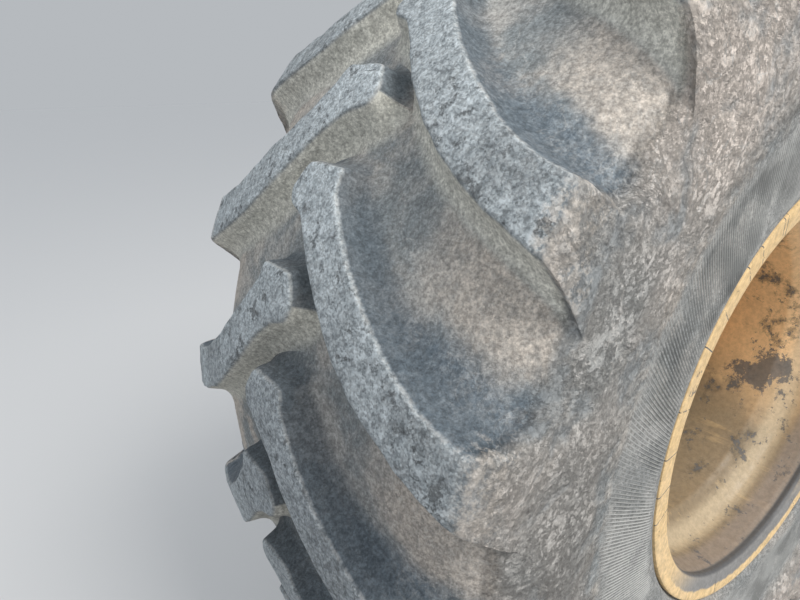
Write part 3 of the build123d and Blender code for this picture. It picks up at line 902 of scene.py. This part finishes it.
class WHEEL_OT_carcass(bpy.types.Operator):
    """Spins the tyre's carcass and roughens its skin"""

    bl_idname = "wheel.carcass"
    bl_label = "Tyre carcass"

    def execute(self, context):
        outline, outside = carcass_outline()
        piece = spin_profile("tyre_carcass", outline, steps=540)
        spots = np.array([vertex.co for vertex in piece.data.vertices])
        radius = np.hypot(spots[:, 0], spots[:, 2])
        place = spots[:, 1] - MID
        nearest = [np.argmin(np.hypot(r - outline[:, 0], p - outline[:, 1])) for r, p in zip(radius, place)]
        place = np.abs(place)
        skin = np.clip((radius - 0.452) / 0.02, 0, 1) * (np.array(nearest) < outside)
        skin *= 0.04 + 0.96 * np.clip((radius - 0.6) / 0.05, 0, 1)
        zone_attribute(piece, np.tile([0.0, 0.0, 1.0], (len(spots), 1)))
        stations = np.arange(-60.0, 580.0, 2.0)
        foot = 0.001 * np.array(lug_section(stations)[:2])
        station = stations[[np.argmin(np.hypot(r - foot[0], p - foot[1])) for r, p in zip(radius, place)]]
        pitch = math.tau / context.scene.wheel_tyre.lugs
        start = context.scene.wheel_tyre.turn + np.where(spots[:, 1] > MID, 0.5 * pitch, 0.0)
        along = LUG_SCALE * (np.arctan2(-spots[:, 0], spots[:, 2]) - start)
        note(piece, "ahead", 0.001 * ahead_of_lug(along, station))
        note(piece, "station", 0.001 * station)
        weigh(piece, "skin", skin)
        weigh(piece, "scuffed", scuffed_share(radius, place))
        wear(piece)
        settle(piece, "wheel", "tyre", [rubber_finish()], ["tyre"])
        return {"FINISHED"}


class WHEEL_OT_lugs(bpy.types.Operator):
    """Wraps the lugs of both sides round the carcass and wears their edges"""

    bl_idname = "wheel.lugs"
    bl_label = "Lugs"

    def execute(self, context):
        rubber = bpy.data.materials["worn_rubber"]
        for name, side in (("tyre_lugs_outer", -1), ("tyre_lugs_inner", 1)):
            piece = wrap_lugs(name, side)
            wear(piece)
            settle(piece, "wheel", "tyre", [rubber], ["tyre"], smooth=50.0)
        return {"FINISHED"}


class WHEEL_OT_ribs(bpy.types.Operator):
    """Lays the fine slanted ribs round both sidewalls"""

    bl_idname = "wheel.ribs"
    bl_label = "Sidewall ribs"

    def execute(self, context):
        tyre = context.scene.wheel_tyre
        rubber = rib_finish()
        outline = carcass_outline()[0]
        wall = outline[outline[:, 1] > 0.36]
        wall = wall[np.argsort(wall[:, 0])]
        turns = math.tau * (tyre.ribs - 1) / tyre.ribs
        for name, side in (("ribs_outer", -1), ("ribs_inner", 1)):
            deselect_all()
            bpy.ops.mesh.primitive_grid_add(x_subdivisions=2, y_subdivisions=12, size=2.0)
            piece = context.object
            piece.name = name
            crest = []
            for vertex in piece.data.vertices:
                share = 0.5 * (vertex.co.y + 1)
                middle = abs(vertex.co.x) < 0.1
                radius = RIB_END - RIB_REACH * share
                turn = math.tan(RIB_SLANT) * math.log(RIB_END / radius) + vertex.co.x * RIB_HALF_TURN
                rise = tyre.rib_height * min(1.0, 8 * share, 8 * (1 - share)) if middle else -0.001
                place = float(np.interp(radius, wall[:, 0], wall[:, 1])) + rise
                vertex.co = (-radius * math.sin(turn), MID + side * place, radius * math.cos(turn))
                crest.append(1.0 if middle else 0.0)
            weigh(piece, "crest", crest)
            zone_attribute(piece, np.outer(crest, (1, 0, 0)))
            with editing():
                bpy.ops.mesh.normals_make_consistent(inside=False)
                bpy.ops.mesh.spin(steps=tyre.ribs - 1, angle=turns, dupli=True, center=(0, 0, 0), axis=(0, 1, 0))
            if piece.data.polygons[0].normal.y * side < 0:
                pick(piece)
                with editing():
                    bpy.ops.mesh.flip_normals()
            displace(piece, "crest", 0.06, 0.004, 0.62)
            settle(piece, "wheel", "tyre", [rubber], ["tyre"], smooth=80.0)
        return {"FINISHED"}


# Section of the rim, as (radius, place from the mid-plane) in millimetres
RIM_LIP = [(441.5, 351.6), (444.2, 354), (444.5, 359.5), (443.4, 362.3), (440.5, 363.2), (426, 361.2),
           (408, 358.2), (399, 356.2), (395.2, 352.6), (393.9, 347)]
RIM_BARREL = [(396.0, -342), (396.4, -337), (394.6, -331.5), (394, -326), (394, -268), (391, -258), (383, -249),
              (360, -222), (352.5, -214), (350, -205), (350, 2), (352.5, 11), (360, 19), (386, 46), (392, 52),
              (394, 60)]
RIM_BACK = [(441.3, 351.0), (407, 345.3), (406.4, 56), (362.4, 12), (362.4, -211), (406.4, -256), (407, -345.3),
            (441.3, -351.0)]


class WHEEL_OT_rim(bpy.types.Operator):
    """Spins the rim with its rounded lips, gutter and drop centre"""

    bl_idname = "wheel.rim"
    bl_label = "Rim"

    def execute(self, context):
        lip = smooth_line(RIM_LIP, 3.0)
        outline = np.vstack([lip * (1, -1), RIM_BARREL, lip[::-1], RIM_BACK])
        piece = spin_profile("rim", 0.001 * outline, steps=256)
        settle(piece, "wheel", "rim_paint", [rim_finish("rim_paint_worn")], ["rim_barrel"])
        return {"FINISHED"}


# Sections of the disc, hub, cover and axle housing, as (radius, place from the mid-plane) in millimetres
DISC = [(180.5, -48.5), (182, -50), (337, -50), (339.5, -51.2), (342, -54.4), (345, -57.4), (348.5, -59.3),
        (351, -60), (351, -18), (348.5, -18.7), (345, -20.6), (342, -23.6), (339.5, -26.8), (337, -28), (182, -28),
        (180.5, -29.5)]
HUB = [(0, -94), (90, -94), (180, -94), (180, -28), (250, -28), (250, -4), (242, 4), (222, 4), (214, 12), (214, 76),
       (188, 102), (188, 128), (110.5, 128), (110.5, 30), (0, 30)]
COVER = [(0, -94), (172, -94), (172, -107), (168, -111), (90, -111), (0, -111)]
HOUSING = [(0, 36), (110, 36), (110, 134), (194, 134), (194, 108), (208, 108), (208, 160), (194, 174), (152, 174),
           (138, 188), (138, 400), (232, 400), (232, 430), (125, 430), (125, 442), (0, 442)]
# The ribs on the housing's neck: how many, how wide in metres, and their side view in millimetres
HOUSING_RIBS, HOUSING_RIB_WIDTH = 8, 0.018
HOUSING_RIB = [(120, 158), (194, 158), (174, 205), (160, 250), (154, 287), (157, 330), (167, 370), (184, 402),
               (120, 402)]


class WHEEL_OT_disc(bpy.types.Operator):
    """Spins the wheel disc with its weld beads and adds the valve's guard"""

    bl_idname = "wheel.disc"
    bl_label = "Wheel disc"

    def execute(self, context):
        paint = bpy.data.materials["rim_paint_worn"]
        disc = spin_profile("disc", 0.001 * np.array(DISC), steps=192)
        settle(disc, "wheel", "rim_paint", [paint], ["wheel_disc"])
        corner = np.radians(np.linspace(0, 90, 6))
        path = []
        for half, top, bend in ((32.0, -278.0, 14.0), (24.0, -286.0, 6.0)):
            side = [(half - bend + bend * math.cos(a), top - bend + bend * math.sin(a)) for a in corner]
            side = [(half, -349.6), *side]
            side += [(-x, z) for x, z in side[::-1]]
            path += side if half > 30 else side[::-1]
        guard = slab("guard", [(0.001 * x, MID - 0.148, 0.001 * z) for x, z in path], (0, 0.076, 0))
        round_edges(guard, 0.0015, 2, 40.0)
        settle(guard, "wheel", "rim_paint", [paint], ["valve_guard"])
        return {"FINISHED"}


class WHEEL_OT_hub(bpy.types.Operator):
    """Spins the hub and its cover and rounds their edges"""

    bl_idname = "wheel.hub"
    bl_label = "Hub"

    def execute(self, context):
        wheel = context.scene.wheel_hub
        paint, tone, normal, rough = paint_finish("hub_paint_worn", wheel.hub_colour, wheel.grease_colour)
        radius, place = paint.from_axle()
        near = paint.times(paint.span(radius, 0.166, 0.176), paint.span(place, -0.100, -0.092))
        tone = paint.blend(paint.times(near, 0.45), tone, wheel.grease_colour)
        paint = paint.done(tone, normal, rough)
        for name, outline, node in (("hub", HUB, "hub_drum"), ("cover", COVER, "hub_cover")):
            piece = spin_profile(name, 0.001 * np.array(outline, float), steps=144)
            round_edges(piece, 0.0022, 3, 25.0)
            settle(piece, "wheel", "hub_paint", [paint], [node])
        return {"FINISHED"}


# Radius of the circle that the cover's bolts stand on, and of the one for the wheel studs
BOLT_CIRCLE, STUD_CIRCLE = 0.156, 0.2125
BOLTS = STUDS = 12


class WHEEL_OT_fasteners(bpy.types.Operator):
    """Adds the cover's bolts, the oil plugs and the wheel studs with washers, nuts and threads"""

    bl_idname = "wheel.fasteners"
    bl_label = "Bolts, plugs and studs"

    def execute(self, context):
        steel = steel_finish("fastener_steel", (0.42, 0.40, 0.38), (0.17, 0.085, 0.045))
        spot = (BOLT_CIRCLE, 0.0)
        bolts = join("bolts", [hex_head("head", 0.019, -0.121, -0.113, spot),
                               rod("washer", 0.0128, -0.1135, -0.1105, spot, 32, 0.0005)])
        settle(copies(bolts, BOLTS), "wheel", "fastener", [steel], ["cover_bolts"])
        parts = []
        for spot in ((0.0, 0.0), (0.0, -0.092)):
            parts += [rod("collar", 0.015, -0.117, -0.1105, spot, 40, 0.001),
                      hex_head("plug", 0.017, -0.125, -0.1165, spot)]
        settle(join("plugs", parts), "wheel", "fastener", [steel], ["oil_plugs"])
        spot = (STUD_CIRCLE, 0.0)
        studs = join("studs", [rod("washer", 0.021, -0.054, -0.0497, spot, 40, 0.0008),
                               hex_head("nut", 0.032, -0.072, -0.0538, spot),
                               threaded("thread", 0.011, -0.081, -0.071, 0.0015, spot),
                               rod("head", 0.0112, 0.003, 0.0075, spot, 32, 0.001)])
        settle(copies(studs, STUDS), "wheel", "fastener", [steel], ["wheel_studs"])
        return {"FINISHED"}


# Where the valve stands in the rim's well, and how it leans
VALVE_PLACE, VALVE_LEAN = (0.0, MID - 0.092, -0.350), math.radians(-50.0)


class WHEEL_OT_valve(bpy.types.Operator):
    """Adds the leaning tyre valve with its nut, threads and grooved cap"""

    bl_idname = "wheel.valve"
    bl_label = "Valve"

    def execute(self, context):
        brass = steel_finish("valve_brass", (0.60, 0.50, 0.30), (0.20, 0.17, 0.11), 0.5)
        stem = join("valve", [hex_head("nut", 0.026, -0.008, 0.009, mid=0.0),
                              rod("stem", 0.008, -0.038, 0.012, mid=0.0, chamfer=0.0006),
                              threaded("thread", 0.0072, -0.0475, -0.037, 0.001, mid=0.0)])
        grooves = []
        for i in range(6):
            grooves += [(0.0105, -0.0475 - 0.002 * i), (0.0105, -0.0487 - 0.002 * i),
                        (0.0098, -0.0489 - 0.002 * i), (0.0098, -0.0493 - 0.002 * i)]
        outline = [(0.0, -0.046), (0.0098, -0.046), *grooves, (0.0105, -0.0597), (0.0102, -0.0610),
                   (0.0090, -0.0618), (0.0, -0.062)]
        cap = spin_profile("cap", outline, steps=40, mid=0.0)
        plastic = plastic_finish("cap_plastic", (0.05, 0.05, 0.05))
        for piece, slot, material, node in ((stem, "valve_metal", brass, "valve_stem"),
                                            (cap, "valve_cap", plastic, "valve_cap")):
            pick(piece)
            piece.rotation_euler.x = VALVE_LEAN
            piece.location = VALVE_PLACE
            bpy.ops.object.transform_apply(location=True, rotation=True, scale=True)
            settle(piece, "wheel", slot, [material], [node])
        return {"FINISHED"}


class WHEEL_OT_axle(bpy.types.Operator):
    """Spins the axle housing, drills its flange and adds its ribs"""

    bl_idname = "wheel.axle"
    bl_label = "Axle end"

    def execute(self, context):
        wheel = context.scene.wheel_hub
        housing = spin_profile("housing", 0.001 * np.array(HOUSING, float), steps=144)
        cut(housing, copies(rod("holes", 0.011, 0.385, 0.445, (0.2, 0.0), 32), 16))
        round_edges(housing, 0.0020, 2, 28.0)
        with editing():
            bpy.ops.mesh.dissolve_degenerate(threshold=1e-5)
        turn = math.pi / HOUSING_RIBS
        out = np.array([math.sin(turn), 0.0, math.cos(turn)])
        width = HOUSING_RIB_WIDTH * np.array([math.cos(turn), 0.0, -math.sin(turn)])
        points = [0.001 * radius * out + (0, MID + 0.001 * place, 0) - 0.5 * width
                  for radius, place in HOUSING_RIB]
        ribs = slab("ribs", points, width)
        round_edges(ribs, 0.0028, 3, 40.0)
        housing = join("housing", [housing, copies(ribs, HOUSING_RIBS)])
        paint, tone, normal, rough = paint_finish("axle_paint_worn", wheel.axle_colour, wheel.grease_colour, 0.55)
        radius, place = paint.from_axle()
        spigot = paint.times(paint.span(radius, 0.127, 0.126), paint.span(place, 0.4, 0.41))
        bare = paint.most(paint.span(place, 0.4290, 0.4297), spigot)
        rings = paint.span(paint.reckon("SINE", paint.times(radius, 5200.0)), -1.0, 1.0, 0.85, 1.05)
        stain = paint.noise(30.0, 8, 0.7)
        metal = paint.blend(paint.span(stain, 0.5, 0.64), [0.40, 0.39, 0.38], [0.20, 0.12, 0.07])
        metal = paint.blend(1.0, metal, paint.grey(rings), "MULTIPLY")
        metallic = paint.times(bare, paint.span(stain, 0.5, 0.64, 0.9, 0.2))
        tone = paint.blend(bare, tone, metal)
        material = paint.done(tone, normal, rough, metallic)
        settle(housing, "axle_end", "axle_paint", [material], ["axle_housing"])
        return {"FINISHED"}


class WHEEL_OT_stage(bpy.types.Operator):
    """Adds the camera, the floor and the studio light"""

    bl_idname = "wheel.stage"
    bl_label = "Stage"

    def execute(self, context):
        stage = context.scene.wheel_stage
        deselect_all()
        bpy.ops.object.camera_add(location=stage.camera_place)
        camera = context.object
        camera.name = "photo_camera"
        camera.rotation_euler = Vector(stage.camera_look).to_track_quat("-Z", "Y").to_euler()
        camera.data.sensor_width = 36.0
        camera.data.lens = stage.lens
        camera.data.clip_start = 0.02
        context.scene.camera = camera

        deselect_all()
        bpy.ops.mesh.primitive_plane_add(size=60.0, location=(0, 0, TYRE_LOW[2]))
        floor = context.object
        floor.name = "floor"
        bpy.ops.object.transform_apply(location=True, rotation=True, scale=True)
        floor.data.materials.append(stage_finish(stage.floor_colour))

        deselect_all()
        bpy.ops.object.light_add(type="AREA", location=(0.2, -3.9, 4.5))
        key = context.object
        key.name = "key_light"
        key.data.shape = "RECTANGLE"
        key.data.size = 3.0
        key.data.size_y = 2.4
        key.data.energy = 280.0
        key.data.color = (1.0, 0.97, 0.93)
        key.rotation_euler = Vector((-0.2, 3.5, -4.5)).to_track_quat("-Z", "Y").to_euler()

        world = bpy.data.worlds.new("studio")
        context.scene.world = world
        world.use_nodes = True
        # Beyond the floor the camera sees the tone of the far floor, so that no edge shows
        far = shade(stage.floor_colour, *stage.sky_colour)
        sky = world.node_tree.nodes["Background"].inputs
        sky["Strength"].default_value = 1.0
        feed(world.node_tree, sky["Color"], by_path(world.node_tree, stage.sky_colour, far))
        context.scene.view_settings.view_transform = "Standard"
        return {"FINISHED"}


class WHEEL_PT_panel(bpy.types.Panel):
    """Lists the sizes and the steps"""

    bl_label = "Forestry wheel"
    bl_idname = "WHEEL_PT_panel"
    bl_space_type = "VIEW_3D"
    bl_region_type = "UI"
    bl_category = "Forestry wheel"

    def draw(self, context):
        for group in GROUPS:
            for name in group.__annotations__:
                self.layout.prop(getattr(context.scene, GROUPS[group]), name)
        for operator in OPERATORS:
            self.layout.operator(operator.bl_idname)


GROUPS = {WheelTyre: "wheel_tyre", WheelRim: "wheel_rim", WheelHub: "wheel_hub", WheelStage: "wheel_stage"}
OPERATORS = (WHEEL_OT_stage, WHEEL_OT_carcass, WHEEL_OT_lugs, WHEEL_OT_ribs, WHEEL_OT_rim, WHEEL_OT_disc,
             WHEEL_OT_hub, WHEEL_OT_fasteners, WHEEL_OT_valve, WHEEL_OT_axle)
CLASSES = (*GROUPS, *OPERATORS, WHEEL_PT_panel)


def register():
    for cls in CLASSES:
        bpy.utils.register_class(cls)
    for group, name in GROUPS.items():
        setattr(bpy.types.Scene, name, bpy.props.PointerProperty(type=group))


def unregister():
    for name in GROUPS.values():
        delattr(bpy.types.Scene, name)
    for cls in reversed(CLASSES):
        bpy.utils.unregister_class(cls)


def main():
    register()
    bpy.ops.wheel.stage()
    bpy.ops.wheel.carcass()
    bpy.ops.wheel.lugs()
    bpy.ops.wheel.ribs()
    bpy.ops.wheel.rim()
    bpy.ops.wheel.disc()
    bpy.ops.wheel.hub()
    bpy.ops.wheel.fasteners()
    bpy.ops.wheel.valve()
    bpy.ops.wheel.axle()


if __name__ == "__main__":
    main()
